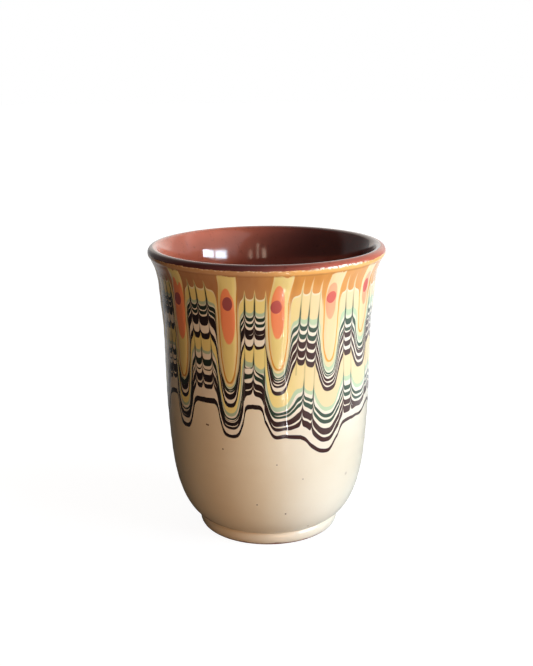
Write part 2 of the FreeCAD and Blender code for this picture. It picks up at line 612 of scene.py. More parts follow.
back_drips = 8
drip_spacing = 27.7            # degrees
first_back, last_back = 59.5 + drip_spacing, 309 - drip_spacing
back_drip_models = ("right", "left", "middle", "left", "far_left")
back_plateau_models = (
    "far_right", "lit", "right_near", "middle_left", "left", "middle_left", "left", "far_left",
)
front_names = list(drips)
for number in range(back_drips):
    middle = first_back + (last_back - first_back) * number / (back_drips - 1) + rng.uniform(-1.2, 1.2)
    towards_left = number / (back_drips - 1)
    model = "far_right" if towards_left < 0.3 else back_drip_models[number % len(back_drip_models)]
    shift = rng.uniform(-1.5, 1.5)
    stretch = rng.uniform(0.95, 1.06)
    edges = band_edges(drips[model][1])
    edges = edges[-1] + (edges - edges[-1]) * stretch + shift
    stations.append((middle, edges) + drip_shapes[model])
    edges = band_edges(plateaus[back_plateau_models[number]][1])
    if number < back_drips - 1:
        edges = edges[-1] + (edges - edges[-1]) * rng.uniform(0.96, 1.04) + rng.uniform(-1.0, 1.0)
    levels.append([(middle + 13.8, edges)])
order = np.argsort([station[0] for station in stations])
stations = [stations[i] for i in order]
levels = [levels[i] for i in order]
middles = np.array([station[0] for station in stations])
print("drips at", np.round(middles, 1))


# %% Heights of the lines all round
drip_reach = 24                # degrees to each side over which a drip bends the lines
drip_fade = 5                  # degrees over which that bend dies out
level_change = 6.0             # degrees over which one plateau's heights turn into the next's


def smooth(t):
    t = np.clip(t, 0, 1)
    return t * t * (3 - 2 * t)


def plateau_edges(number, angle):
    """Edges of the bands on one plateau, which may slope from its first place to its last."""
    places = [place for place, _ in levels[number]]
    rows = np.array([edges for _, edges in levels[number]])
    return np.array([np.interp(angle, places, rows[:, k]) for k in range(rows.shape[1])])


def dip(offset, lines, side):
    """How far each line hangs down to one side of a drip: one in the drip, none far off."""
    widths, fullness, shoulder = (np.interp(lines, width_lines, row)[:, None] for row in side)
    t = np.abs(offset)[None, :] / widths
    power = fullness + 1 + (shoulder - fullness) * smooth((t - 0.9) / 0.2)
    return 1 / (1 + 0.18 * np.minimum(t, 1) ** 2 + t ** power)


def line_heights(angle):
    """Heights of all lines at these directions, from 24 lines down to the lowest."""
    angle = (angle - middles[0] + 180) % 360 - 180 + middles[0]
    wrapped = np.where(angle < middles[0], angle + 360, angle)
    count = len(levels[0][0][1])
    base = np.zeros((count, len(angle)))
    for number in range(len(stations)):
        start = middles[number]
        end = middles[(number + 1) % len(stations)] + (360 if number + 1 == len(stations) else 0)
        inside = (wrapped >= start) & (wrapped < end)
        here = wrapped[inside]
        own = plateau_edges(number, here)
        before = plateau_edges(number - 1, np.full(len(here), 1e3))
        after = plateau_edges((number + 1) % len(stations), np.full(len(here), -1e3))
        rising = 0.5 + 0.5 * smooth((here - start) / level_change)
        leaving = 0.5 * smooth((here - end + level_change) / level_change)
        base[:, inside] = own * (rising - leaving) + before * (1 - rising) + after * leaving
    heights = base.copy()
    lines = np.arange(count)
    for middle, edges, left_side, right_side in stations:
        offset = (wrapped - middle + 180) % 360 - 180
        to_left = (offset > -drip_reach) & (offset < 0)
        to_right = (offset >= 0) & (offset < drip_reach)
        for near, side in ((to_left, left_side), (to_right, right_side)):
            depth = base[:, near] - edges[:, None]
            fading = smooth((drip_reach - np.abs(offset[near])) / drip_fade)
            heights[:, near] -= depth * dip(offset[near], lines, side) * fading
    return heights


def wander(angle, size, waves, seed):
    """A small wobble that closes on itself round the tumbler."""
    own = np.random.default_rng(seed)
    total = np.zeros(len(angle))
    for wave in waves:
        total += own.normal() * np.sin(np.radians(angle) * wave + own.uniform(0, math.tau))
    return total * size / math.sqrt(len(waves))


dark_starts = [2, 4, 6, 8, 10, 14, 16, 18, 20, 22]
dark_growth = 0.09             # mm by which a dark line spreads sideways where it runs steeply
line_overlap = 0.22            # mm by which two dark lines run into each other where they touch
right_growth_loss = 0.65       # share of that growth that is missing on the right


def all_lines(angle):
    """The line heights with their wobble, and with the dark lines grown."""
    heights = line_heights(angle)
    step = 0.05
    rise = (line_heights(angle + step) - line_heights(angle - step)) / (2 * step)
    steepness = np.abs(rise) / (math.radians(1) * 36)
    together = wander(angle, 0.08, (13, 23, 37), 5)
    growth = dark_growth * (1 - right_growth_loss * smooth((angle - 2) / 10) * smooth((120 - angle) / 30))
    for number in range(len(heights)):
        heights[number] += together + wander(angle, 0.05, (19, 37, 59), 100 + number)
        grown = 0.07 + growth * np.minimum(steepness[number], 20)
        if number in dark_starts:
            heights[number] += grown
        elif number - 1 in dark_starts:
            heights[number] -= grown
    for number in range(1, len(heights)):
        heights[number] = np.minimum(heights[number], heights[number - 1])
    for number in dark_starts[1:]:
        heights[number] += line_overlap * smooth(1 - (heights[number - 1] - heights[number]) / 0.15)
    return heights


column_angles = np.arange(-180, 180, 360 / columns)
last_line = all_lines(column_angles)[-1]
print("last line, lowest and highest:", np.round([last_line.min(), last_line.max()], 1))

# %% [markdown]
# The lines are stored three to an attribute, because an attribute can hold a vector. An edge
# that is straight between two points of the mesh is straight on the surface too, and the points
# are only a third of a millimetre apart, so no step shows.

# %% Store the lines on the mesh
point_lines = all_lines(around)
line_sets = len(point_lines) // 3
for number in range(line_sets):
    store = mesh.attributes.new("slip_lines_%d" % number, "FLOAT_VECTOR", "POINT")
    store.data.foreach_set("vector", point_lines[3 * number:3 * number + 3].T.ravel())
print("line attributes:", line_sets)

# %% [markdown]
# The middle of each drip is a tongue of yellow slip with an orange run and a dark red dot on it.
# They are simple shapes, so the mesh only carries where the nearest drip is: how far to the side
# of its middle a spot lies, and the sizes of that drip. These values jump from one drip to the
# next, so they are stored on the corners of faces, where such a jump needs no room.

# %% Sizes of the tongues, runs and dots
# Half width, bottom and length of the rounding in mm, and lean of the top in degrees.
tongues = {
    "far_left": (2.55, 60.6, 14.0, 1.2),
    "left": (2.80, 61.2, 18.0, 1.3),
    "middle": (2.85, 66.0, 14.0, 2.4),
    "right": (2.52, 67.1, 11.0, 1.6),
    "far_right": (2.65, 74.0, 13.0, 1.3),
}
# Sideways, bottom, top and half width in mm, then depth and place of the notch, and slope.
runs = {
    "far_left": (0.2, 72.9, 94.0, 2.55, 2.8, 0.1, 0.9),
    "left": (0.15, 73.8, 92.0, 2.40, 1.0, 0.5, 1.0),
    "middle": (-0.2, 75.9, 93.0, 2.15, 0.0, 0.0, 2.0),
    "right": (-0.5, 81.0, 92.9, 1.95, 0.0, 0.0, 0.6),
    "far_right": (0.05, 82.9, 94.0, 1.75, 0.0, 0.0, 0.0),
}
# Sideways, height of the middle, half width and half height in mm.
dots = {
    "far_left": (-0.25, 86.4, 1.75, 2.15),
    "left": (0.2, 87.1, 1.70, 2.30),
    "middle": (-0.7, 86.4, 1.78, 2.20),
    "right": (-0.55, 88.2, 1.80, 2.00),
    "far_right": (-0.2, 89.4, 1.65, 2.35),
}
tongue_sizes, run_sizes, dot_sizes = [], [], []
front = {drips[name][0]: name for name in drips}
rng = np.random.default_rng(23)
for middle, edges, *_ in stations:
    name = front.get(middle)
    spare = front_names[rng.integers(len(front_names))]
    jitter = rng.uniform(-1, 1, 7)
    if name:
        tongue_sizes.append(tongues[name])
        run_sizes.append(runs[name])
        dot_sizes.append(dots[name])
    else:
        tongue_sizes.append((2.7 + 0.12 * jitter[0], edges[0] + 0.9, 14 + 3 * jitter[6], 1.0 + jitter[1]))
        side, bottom, top, *rest = runs[spare]
        bottom = max(bottom + jitter[2], edges[0] + 8)
        run_sizes.append((side, bottom, top + 0.5 * jitter[3], *rest))
        side, centre, half, tall = dots[spare]
        dot_sizes.append((side, centre + jitter[4], half, tall * (1 + 0.05 * jitter[5])))
print("tongues:", len(tongue_sizes))

# %% Teeth of the comb
# Each tooth is given by its direction at height 90, that at height 55, and where it ends.
front_teeth = [
    (-67.4, -67.0, 40), (-62.5, -62.3, 40), (-57.9, -57.9, 40),
    (-41.6, -40.3, 40), (-37.0, -35.8, 40), (-31.2, -29.2, 40),
    (-10.8, -12.4, 40), (-5.9, -7.8, 40), (-0.5, -1.8, 40),
    (17.1, 13.9, 63), (21.7, 18.6, 40), (27.0, 24.4, 40),
    (43.4, 44.6, 40), (49.0, 51.0, 40),
    (67.5, 67.9, 40), (73.0, 73.4, 40), (78.5, 79.0, 40),
]
teeth = list(front_teeth)
rng = np.random.default_rng(37)
for middle in middles:
    between = middle + 13.85
    if 80 < between < 290:
        for step in (-5.3, 0.0, 5.3):
            top = between + step + rng.uniform(-0.5, 0.5)
            teeth.append((top, top + rng.uniform(-1.2, 1.2), 40))
teeth = np.array(teeth)
print("teeth:", len(teeth))

# %% Store the drips and the comb on the corners
corner_points = np.empty(len(mesh.loops), int)
mesh.loops.foreach_get("vertex_index", corner_points)
face_sizes = np.empty(len(mesh.polygons), int)
mesh.polygons.foreach_get("loop_total", face_sizes)
face_of_corner = np.repeat(np.arange(len(mesh.polygons)), face_sizes)
corner_angle = around[corner_points]
corner_level = level[corner_points]
corner_radius = radius[corner_points]
on_axis = corner_radius < 0.001


def face_average(values, weights):
    total = np.bincount(face_of_corner, values * weights)
    return total / np.maximum(np.bincount(face_of_corner, weights), 1e-9)


off_axis = (~on_axis).astype(float)
sine = face_average(np.sin(np.radians(corner_angle)), off_axis)
cosine = face_average(np.cos(np.radians(corner_angle)), off_axis)
face_angle = np.degrees(np.arctan2(sine, cosine))[face_of_corner]
corner_angle = np.where(on_axis, face_angle, corner_angle)
corner_angle = face_angle + (corner_angle - face_angle + 180) % 360 - 180   # no jump in a face


def turn_between(first, second):
    return (first - second + 180) % 360 - 180


nearest = np.abs(turn_between(face_angle[:, None], middles[None, :])).argmin(axis=1)
tongue_table = np.array(tongue_sizes)[nearest]
run_table = np.array(run_sizes)[nearest]
dot_table = np.array(dot_sizes)[nearest]
offset = turn_between(corner_angle, middles[nearest])
offset = offset - tongue_table[:, 3] * smooth((corner_level - 86) / 11)
sideways = np.radians(offset) * corner_radius
mean_level = face_average(corner_level, np.ones(len(corner_level)))[face_of_corner]
tooth_top, tooth_lean, tooth_end = teeth[:, 0], teeth[:, 1] - teeth[:, 0], teeth[:, 2]
tooth_angle = tooth_top[None, :] + tooth_lean[None, :] * ((90 - mean_level) / 35)[:, None]
ended = 90 * (mean_level[:, None] < tooth_end[None, :])
nearest_tooth = (np.abs(turn_between(face_angle[:, None], tooth_angle)) + ended).argmin(axis=1)
lean_share = (90 - corner_level) / 35
from_tooth = turn_between(corner_angle, tooth_top[nearest_tooth] + tooth_lean[nearest_tooth] * lean_share)


def store_corners(name, *columns_of_values):
    store = mesh.attributes.new(name, "FLOAT_VECTOR", "CORNER")
    store.data.foreach_set("vector", np.stack(columns_of_values, axis=1).astype(np.float32).ravel())


half_width, tongue_bottom, rounding = tongue_table[:, 0], tongue_table[:, 1], tongue_table[:, 2]
store_corners("tongue", sideways, half_width, tongue_bottom + rounding)
store_corners("run", sideways - run_table[:, 0], run_table[:, 1], run_table[:, 2])
store_corners("run_shape", run_table[:, 3], from_tooth, rounding)
store_corners("run_top", run_table[:, 4], run_table[:, 5], run_table[:, 6])
store_corners("dot", (sideways - dot_table[:, 0]) / dot_table[:, 2], dot_table[:, 1], dot_table[:, 3])
print("corners:", len(corner_points))

# %% [markdown]
# A finish can be baked onto a flat map of the surface. The map unrolled here gives the combed
# band most of the room: the direction round the tumbler runs across, and the way up the outline
# runs up, with the plain belly, the inside and the underside in narrow strips below.

# %% Unroll the surface
outline = np.vstack([along_span(span, 40) for span in spans])
walked = np.concatenate(([0], np.cumsum(np.linalg.norm(np.diff(outline, axis=0), axis=1))))
starts = np.cumsum([0] + [40 * len(group) for group in (under_spans, outer_spans, lip_spans, inner_spans)])
lip_top = starts[2] + 40
lowest_band = 34.0             # mm above the table, where the combed band gets more room
band_start = starts[1] + int(np.argmin(np.abs(outline[starts[1]:starts[2], 1] - lowest_band)))
marks = [walked[0], walked[starts[1]], walked[band_start], walked[lip_top], walked[-1]]


def way_along(points_r, points_z, inner, under):
    """How far along the outline each corner lies, found on the part of the outline it is on."""
    result = np.zeros(len(points_r))
    parts = ((under, 0, starts[1]), (~under & ~inner, starts[1], lip_top), (inner, lip_top, len(outline)))
    for chosen, begin, end in parts:
        part, part_walk = outline[begin:end], walked[begin:end]
        where = np.flatnonzero(chosen)
        for block in np.array_split(where, max(1, len(where) // 4000)):
            gap_r = points_r[block, None] - part[None, :, 0]
            gap_z = points_z[block, None] - part[None, :, 1]
            result[block] = part_walk[(gap_r ** 2 + gap_z ** 2).argmin(axis=1)]
    return result


face_radius = face_average(corner_radius, np.ones(len(corner_level)))[face_of_corner]
under = (mean_level < foot_recess) & (face_radius < foot_base_radius) & (corner_level < foot_recess + 0.01)
under &= face_radius < foot_base_radius - 0.01
inner = ~under & (face_radius < np.interp(mean_level, outer_line[:, 1], outer_line[:, 0]) - 1.6)
inner |= ~under & (mean_level > height - 0.35 * lip_rounding) & (face_radius < lip_middle[0])
way = way_along(corner_radius, corner_level, inner, under)
across = (corner_angle + 180) / 360
up = np.where(
    inner,
    np.interp(way, [marks[3], marks[4]], [0.235, 0.05]),
    np.where(under, np.interp(way, [marks[0], marks[1]], [0.0, 0.045]),
             np.interp(way, [marks[1], marks[2], marks[3]], [0.24, 0.36, 1.0])),
)
unrolled = mesh.uv_layers.new(name="OFBake")
unrolled.data.foreach_set("uv", np.stack((np.clip(across, 0, 1), up), axis=1).astype(np.float32).ravel())
print("map rows:", np.round([up.min(), up.max()], 3))

# %% Relief of the clay and the slip
tongue_height = 0.16           # mm, like the others here
slip_edge_height = 0.05
spiral_height = 0.035
sway_size = 0.05
run_height = 0.04
collar_height = 0.10
groove_depth = 0.12
inner_ring_height = 0.05
inner_swell_height = 0.42      # brings the window's reflection to where the photo has it

tongue_relief = np.zeros(len(points))
for number, middle in enumerate(middles):
    half, bottom, rounding_here, shift = tongue_sizes[number]
    side = np.radians(turn_between(around, middle) - shift * smooth((level - 86) / 11)) * radius
    below = np.minimum(level - (bottom + rounding_here), 0)
    inside = np.hypot(side / half, below / rounding_here)
    tongue_relief += tongue_height * smooth((1.15 - inside) / 0.6) * smooth((97 - level) / 3)
slip_edge = slip_edge_height * smooth((level - point_lines[-1]) / 1.2 + 0.5)
spiral = spiral_height * np.sin(np.radians(around) + level * math.tau / 5.2) * smooth((level - 8) / 10)
sway = wander(around, sway_size, (2, 3, 5), 71) * smooth((level - 6) / 30)
run_place = 10.2 - 2.0 * smooth((level - 60) / 6) + 0.35 * np.sin(level / 1.7) + 0.25 * np.sin(level / 0.8)
from_run = np.radians(turn_between(around, run_place)) * radius
run_reach = smooth((level - 42) / 3) * smooth((90 - level) / 4)
store = mesh.attributes.new("glaze_run", "FLOAT", "POINT")
store.data.foreach_set("value", (np.exp(-(from_run / 1.1) ** 2) * run_reach).astype(np.float32))
glaze_run = run_height * np.exp(-(from_run / 0.55) ** 2) * run_reach
collar = collar_height * smooth((level - 96.3) / 0.5) - groove_depth * np.exp(-((level - 96.5) / 0.4) ** 2)
fade = smooth((97.4 - level) / 2.0)
move = (tongue_relief + slip_edge + spiral + sway + glaze_run) * fade
move += collar * smooth((97.9 - level) / 0.7)
move = np.where(is_outside, move - 0.02 * smooth((level - 96) / 2), 0)
inner_points = ~is_outside & (radius < outer_radius(level) - 1.0) & (level > floor_thickness - 0.1)
inner_rings = inner_ring_height * np.sin(np.radians(around) * 2 + level * math.tau / 7.5)
inner_rings *= smooth((96 - level) / 6)
inner_swell = -inner_swell_height * smooth((level - 60) / 26) * smooth((94.8 - level) / 8.8)
move += np.where(inner_points, inner_rings * smooth((level - 6) / 4) + inner_swell, 0)
outward = np.stack((points[:, 0], points[:, 1], np.zeros(len(points))), axis=1)
outward /= np.maximum(radius, 1e-6)[:, None]
moved = points + outward * move[:, None]
mesh.vertices.foreach_set("co", (moved * MM).ravel())
mesh.update()
print("relief in mm:", round(float(move.min()), 3), round(float(move.max()), 3))

# %% [markdown]
# Two effects belong to every glazed face of the tumbler. The clear glaze ripples a little, like
# the skin of an orange, and small specks of iron and grit burn through it. Each is built once as
# a node group with named inputs, so that every finish can use it with its own strength.


# %% Shared effects
def new_group(name, inputs, outputs):
    group = bpy.data.node_groups.new(name, "ShaderNodeTree")
    for socket, kind, default in inputs:
        made = group.interface.new_socket(socket, in_out="INPUT", socket_type=kind)
        made.default_value = default
    for socket, kind in outputs:
        group.interface.new_socket(socket, in_out="OUTPUT", socket_type=kind)
    return group, node(group, "NodeGroupInput"), node(group, "NodeGroupOutput")


ripple_group, given, result = new_group(
    "glaze_ripple",
    [("Size", "NodeSocketFloat", 1.0), ("Depth", "NodeSocketFloat", 1.0)],
    [("Height", "NodeSocketFloat")],
)
place = node(ripple_group, "ShaderNodeTexCoord").outputs["Object"]
scaled = node(ripple_group, "ShaderNodeVectorMath", operation="SCALE")
feed(ripple_group, place, scaled.inputs[0])
feed(ripple_group, given.outputs["Size"], scaled.inputs["Scale"])
slow = noise(ripple_group, scaled.outputs[0], 130.0, 1.0)
fine = noise(ripple_group, scaled.outputs[0], 900.0, 1.0)
mixed = calc(ripple_group, "MULTIPLY_ADD", fine, 0.12, slow)
feed(ripple_group, times(ripple_group, mixed, given.outputs["Depth"]), result.inputs["Height"])

speck_group, given, result = new_group(
    "iron_specks",
    [("Scale", "NodeSocketFloat", 200.0), ("Amount", "NodeSocketFloat", 0.1)],
    [("Mask", "NodeSocketFloat")],
)
place = node(speck_group, "ShaderNodeTexCoord").outputs["Object"]
cells = node(speck_group, "ShaderNodeTexVoronoi", feature="F1")
feed(speck_group, place, cells.inputs["Vector"])
feed(speck_group, given.outputs["Scale"], cells.inputs["Scale"])
chance = node(speck_group, "ShaderNodeSeparateColor")
feed(speck_group, cells.outputs["Color"], chance.inputs[0])
chosen = calc(speck_group, "LESS_THAN", chance.outputs[0], given.outputs["Amount"])
size = calc(speck_group, "MULTIPLY_ADD", chance.outputs[1], 0.16, 0.06)
spot = ramp(speck_group, cells.outputs["Distance"], times(speck_group, size, 0.5), size, 1.0, 0.0)
feed(speck_group, times(speck_group, spot, chosen), result.inputs["Mask"])


def place_group(tree, group, output, **values):
    made = node(tree, "ShaderNodeGroup", node_tree=group)
    for name, value in values.items():
        feed(tree, value, made.inputs[name])
    return made.outputs[output]


# %% [markdown]
# The red glaze lines the inside and covers the lip, where the cream slip stops in a ragged edge.
# Both the outside and the inside show it, so its colour is a group as well. A slow noise varies it
# between two reds, and a fine one adds dark flecks.

# %% Red-brown glaze, shared by the lip and the inside
glaze_group, given, result = new_group(
    "red_brown_glaze", [], [("Color", "NodeSocketColor")],
)
place = node(glaze_group, "ShaderNodeTexCoord").outputs["Object"]
clouds = noise(glaze_group, place, 45.0, 3.0)
flecks = noise(glaze_group, place, 420.0, 2.0, 0.7)
deep_red, light_red, fleck_brown = rgb(0.43, 0.115, 0.078), rgb(0.53, 0.155, 0.105), rgb(0.24, 0.06, 0.04)
glaze = blend(glaze_group, ramp(glaze_group, clouds, 0.3, 0.7), deep_red, light_red)
glaze = blend(glaze_group, ramp(glaze_group, flecks, 0.58, 0.75, 0, 0.35), glaze, fleck_brown)
feed(glaze_group, glaze, result.inputs["Color"])

# %% [markdown]
# The outside is one material. It starts with the ochre at the top, lays each band of slip over
# all that is below its line, down to the cream of the belly, and then draws the tongues, the runs
# and the dots. A band is drawn where the height of the spot is below the line that starts it. The
# comb pulled every line up into a cusp, so the height is lowered near each tooth first.
#
# In the photo the slips are deeper on the left and paler on the right, by more than these lamps
# give. So each slip has two colours, and a part of the photo's light is written into them. The lip
# and the lining do the same, more strongly. It suits the photo's view, but under other light or
# from behind it shows. An evenly glazed tumbler would have two like colours in each pair.

# %% Colours of the slips
# For each slip, the colour on the left, with painted shade, and the colour on the right, with painted
# light.
slips = {
    "cream": (rgb(0.86, 0.735, 0.52), rgb(0.86, 0.78, 0.62)),
    "line_cream": (rgb(0.87, 0.76, 0.59), rgb(0.88, 0.80, 0.66)),
    "yellow": (rgb(0.88, 0.70, 0.25), rgb(0.84, 0.67, 0.39)),
    "pale_green": (rgb(0.43, 0.52, 0.33), rgb(0.52, 0.64, 0.41)),
    "dark_green": (rgb(0.014, 0.026, 0.016), rgb(0.040, 0.076, 0.050)),
    "dark_brown": (rgb(0.017, 0.008, 0.007), rgb(0.055, 0.022, 0.020)),
    "ochre": (rgb(0.47, 0.22, 0.085), rgb(0.70, 0.31, 0.070)),
    "dark_ochre": (rgb(0.40, 0.16, 0.062), rgb(0.60, 0.25, 0.060)),
    "collar": (rgb(0.60, 0.32, 0.14), rgb(0.88, 0.46, 0.13)),
    "orange": (rgb(0.95, 0.29, 0.12), rgb(0.95, 0.44, 0.25)),
    "dark_red": (rgb(0.36, 0.085, 0.08), rgb(0.66, 0.12, 0.095)),
    "ring_brown": (rgb(0.60, 0.26, 0.04), rgb(0.80, 0.36, 0.045)),
}
pale_orange = rgb(0.90, 0.68, 0.42)
comb_trace = rgb(0.10, 0.07, 0.06)
olive_trace = rgb(0.22, 0.17, 0.05)
bare_clay = rgb(0.33, 0.14, 0.09)
dark_group = ["dark_green", "line_cream"] * 2 + ["dark_brown", "line_cream"] * 2
bands = [
    "yellow", "pale_green",
    *dark_group, "dark_brown",
    "yellow", "pale_green", "line_cream",
    *dark_group,
    "dark_brown", "cream",
]
print("bands:", len(bands))


# %% Start the outside
def new_material(name):
    made = bpy.data.materials.new(name)
    made.use_nodes = True
    made.node_tree.nodes.clear()
    return made, made.node_tree


def read_attribute(tree, name):
    made = node(tree, "ShaderNodeAttribute", attribute_type="GEOMETRY", attribute_name=name)
    parts = node(tree, "ShaderNodeSeparateXYZ")
    feed(tree, made.outputs["Vector"], parts.inputs[0])
    return parts.outputs


cusp_width = 0.55              # degrees to the side over which a cusp falls off
cusp_height = 2.3              # mm by which a tooth pulls a line up
slipware, tree = new_material("combed_slip")
place = node(tree, "ShaderNodeTexCoord").outputs["Object"]
parts = node(tree, "ShaderNodeSeparateXYZ")
feed(tree, place, parts.inputs[0])
spot_height = times(tree, parts.outputs["Z"], 1 / MM)
lines = []
for number in range(line_sets):
    lines += list(read_attribute(tree, "slip_lines_%d" % number))
run_half_width, from_tooth_value, round_length = read_attribute(tree, "run_shape")
tooth_distance = calc(tree, "ABSOLUTE", from_tooth_value)
cusp = calc(tree, "EXPONENT", times(tree, tooth_distance, -1 / cusp_width))
above_last = minus(tree, spot_height, lines[22])
cusp = times(tree, cusp, cusp_height)
lift = times(tree, cusp, ramp(tree, above_last, 0.8, 4.0, 0.06, 1.0))
wobble = minus(tree, noise(tree, place, 420.0, 2.0), 0.5)
line_height = minus(tree, spot_height, lift)
line_height = calc(tree, "MULTIPLY_ADD", wobble, 0.14, line_height)

# %% Lay the bands
line_softness = 0.16           # mm over which one slip turns into the next
mottle = noise(tree, place, 60.0, 3.0)
streaks = node(tree, "ShaderNodeMapping")
feed(tree, place, streaks.inputs["Vector"])
streaks.inputs["Scale"].default_value = (1.0, 1.0, 0.12)
run_streaks = noise(tree, streaks.outputs[0], 260.0, 3.0)
# Shares from the left to the right, used for the slips' painted shade and painted light.
right_share = ramp(tree, parts.outputs["X"], -8 * MM, 13 * MM)
late_right_share = ramp(tree, parts.outputs["X"], 0.0, 20 * MM)


def slip(name):
    """The colour of one slip: painted shade on the left of the tumbler, painted light on the right."""
    left, right = slips[name]
    share = late_right_share if name in ("yellow", "orange") else right_share
    return blend(tree, share, left, right)


colour = blend(tree, ramp(tree, run_streaks, 0.35, 0.7, 0.0, 0.55), slip("ochre"), slip("dark_ochre"))
for line, band in zip(lines, bands):
    below = minus(tree, line, line_height)
    mask = calc(tree, "MULTIPLY_ADD", below, 1 / line_softness, 0.5, clamp=True)
    colour = blend(tree, mask, colour, slip(band))

# %% Thin pale seams beside the ochre and under the green
under_ochre = minus(tree, lines[0], line_height)
seam_end = ramp(tree, under_ochre, 0.35, 0.8, 0.55, 0.0)
seam = times(tree, ramp(tree, under_ochre, 0.0, 0.15), seam_end)
colour = blend(tree, seam, colour, slip("line_cream"))
above_green = minus(tree, line_height, lines[2])
green_share = divided(tree, above_green, minus(tree, lines[1], lines[2]))
seam_end = ramp(tree, green_share, 0.2, 0.5, 0.75, 0.0)
seam = times(tree, ramp(tree, green_share, 0.0, 0.08), seam_end)
colour = blend(tree, seam, colour, slip("line_cream"))


# %% Traces of the comb, and painted light on the low belly
def wisp(tree, line, tall, wide, strength):
    """A tapered streak that the comb pulled up over a line."""
    share = divided(tree, minus(tree, line_height, line), tall)
    width = calc(tree, "MAXIMUM", calc(tree, "MULTIPLY_ADD", share, -0.65 * wide, wide), 0.02)
    across = ramp(tree, divided(tree, tooth_distance, width), 0.15, 1.0, 1.0, 0.0)
    tapering = ramp(tree, share, 0.3, 1.0, strength, 0.0)
    along = times(tree, ramp(tree, share, -0.15, 0.0), tapering)
    return times(tree, across, along)


def between(tree, value, top, bottom):
    under_top = ramp(tree, minus(tree, top, value), 0.0, 0.3)
    return times(tree, under_top, ramp(tree, minus(tree, value, bottom), 0.0, 0.3))


squared = times(tree, tooth_distance, tooth_distance)
trace_width = 0.34             # degrees
trace = calc(tree, "EXPONENT", times(tree, squared, -1 / trace_width ** 2))
in_groups = calc(
    tree, "MAXIMUM",
    between(tree, line_height, lines[2], lines[11]),
    between(tree, line_height, lines[14], lines[21]),
)
dark_trace = times(tree, times(tree, trace, in_groups), 0.55)
colour = blend(tree, dark_trace, colour, comb_trace)
in_yellow = between(tree, line_height, lines[11], lines[14])
in_yellow = calc(tree, "MAXIMUM", in_yellow, between(tree, line_height, lines[0], lines[2]))
yellow_trace = times(tree, times(tree, trace, in_yellow), 0.38)
colour = blend(tree, yellow_trace, colour, olive_trace)
pale_reach = calc(tree, "MULTIPLY_ADD", right_share, 3.2, 1.2)
colour = blend(tree, wisp(tree, lines[0], pale_reach, 0.95, 0.8), colour, slip("yellow"))
colour = blend(tree, wisp(tree, lines[2], 8.0, 0.90, 1.0), colour, slip("dark_green"))
colour = blend(tree, wisp(tree, lines[14], 5.5, 0.80, 0.95), colour, slip("dark_green"))

# Painted light: the low belly is painted paler towards the lit right side.
painted_belly_light = times(tree, late_right_share, ramp(tree, spot_height, 12.0, 31.0, 1.0, 0.0))
colour = blend(tree, painted_belly_light, colour, rgb(0.98, 0.92, 0.77))

# %% Draw the tongues
side, half, round_height = read_attribute(tree, "tongue")
widening = calc(tree, "MAXIMUM", minus(tree, spot_height, 80.0), 0.0)
half = times(tree, half, calc(tree, "MULTIPLY_ADD", widening, 0.008, 1.0))
below = calc(tree, "MINIMUM", minus(tree, spot_height, round_height), 0.0)
wide_share = divided(tree, side, half)
tall_share = divided(tree, below, round_length)


def length(tree, first, second):
    squares = calc(tree, "MULTIPLY_ADD", first, first, times(tree, second, second))
    return calc(tree, "SQRT", squares)


reach = length(tree, wide_share, tall_share)
slope = length(tree, divided(tree, wide_share, half), divided(tree, tall_share, round_length))
tongue_gap = times(tree, minus(tree, reach, 1.0), reach)
tongue_gap = divided(tree, tongue_gap, calc(tree, "MAXIMUM", slope, 0.03))
tongue_gap = calc(tree, "MULTIPLY_ADD", wobble, 0.12, tongue_gap)
low_end = calc(tree, "ADD", below, round_length)
low_end = ramp(tree, low_end, 0.0, 5.0, 1.0, 0.0)
high_end = ramp(tree, spot_height, 78.0, 87.0)
ring_gap = calc(tree, "ABSOLUTE", minus(tree, tongue_gap, 0.16))
ring_width = calc(tree, "MULTIPLY_ADD", low_end, 0.20, 0.28)
ring_gap = divided(tree, ring_gap, ring_width)
ring_mask = ramp(tree, ring_gap, 0.35, 1.25, 1.0, 0.0)
ring_mask = times(tree, ring_mask, ramp(tree, spot_height, 88.0, 93.0, 1.0, 0.3))
outer_gap = minus(tree, tongue_gap, calc(tree, "MULTIPLY_ADD", low_end, -0.3, 1.15))
outer_mask = ramp(tree, outer_gap, -0.25, 0.2, 0.85, 0.0)
outer_mask = times(tree, outer_mask, ramp(tree, spot_height, 82.0, 90.0, 1.0, 0.0))
colour = blend(tree, outer_mask, colour, rgb(0.84, 0.68, 0.36))
colour = blend(tree, ring_mask, colour, slip("ring_brown"))
tongue_end = ramp(tree, calc(tree, "MULTIPLY_ADD", wobble, 2.6, spot_height), 96.3, 96.7, 1.0, 0.0)
tongue_mask = times(tree, ramp(tree, tongue_gap, -0.12, 0.08, 1.0, 0.0), tongue_end)
deep_streak = ramp(tree, run_streaks, 0.3, 0.75, 0, 0.3)
tongue_colour = blend(tree, deep_streak, slip("yellow"), rgb(0.84, 0.62, 0.20))
pale_side = ramp(tree, tongue_gap, -0.75, -0.3, 0.0, 0.3)
pale_side = times(tree, pale_side, ramp(tree, low_end, 0.0, 0.5, 1.0, 0.0))
tongue_colour = blend(tree, pale_side, tongue_colour, pale_orange)
colour = blend(tree, tongue_mask, colour, tongue_colour)

